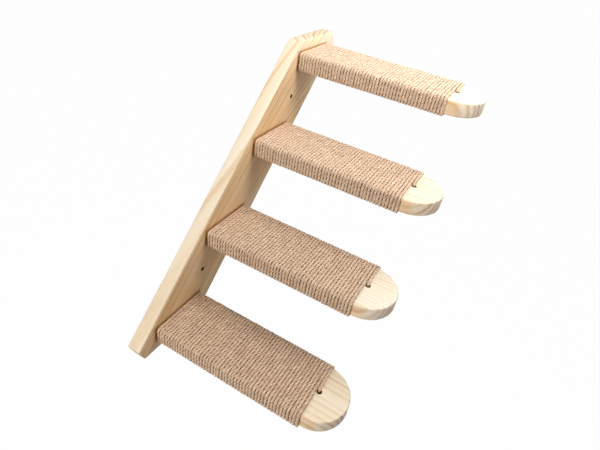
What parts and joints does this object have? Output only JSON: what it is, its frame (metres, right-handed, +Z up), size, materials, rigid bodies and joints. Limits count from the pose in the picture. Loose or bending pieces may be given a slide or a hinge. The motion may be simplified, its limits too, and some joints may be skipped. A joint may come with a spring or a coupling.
{
  "type": "wall-mounted cat stairs",
  "caption": "Slanted pine wall board with level, round-nosed pine treads standing out from it like stairs, each wound tightly with jute twine.",
  "frame": {"origin": "on the wall plane, in the middle of the slanted board's back face", "axes": "+X sideways along the wall, the way the stairs climb; +Y into the wall; +Z up"},
  "size_m": [0.4448, 0.28, 0.354],
  "materials": {
    "pine": "satin",
    "jute": "matte",
    "screw_steel": "satin"
  },
  "bodies": {
    "root": {"wall_board": "pine", "tread_1": "pine", "tread_2": "pine", "tread_3": "pine", "tread_4": "pine", "twine_wrap_1": "jute", "twine_wrap_2": "jute", "twine_wrap_3": "jute", "twine_wrap_4": "jute", "tread_screws": "screw_steel"}
  },
  "joints": []
}
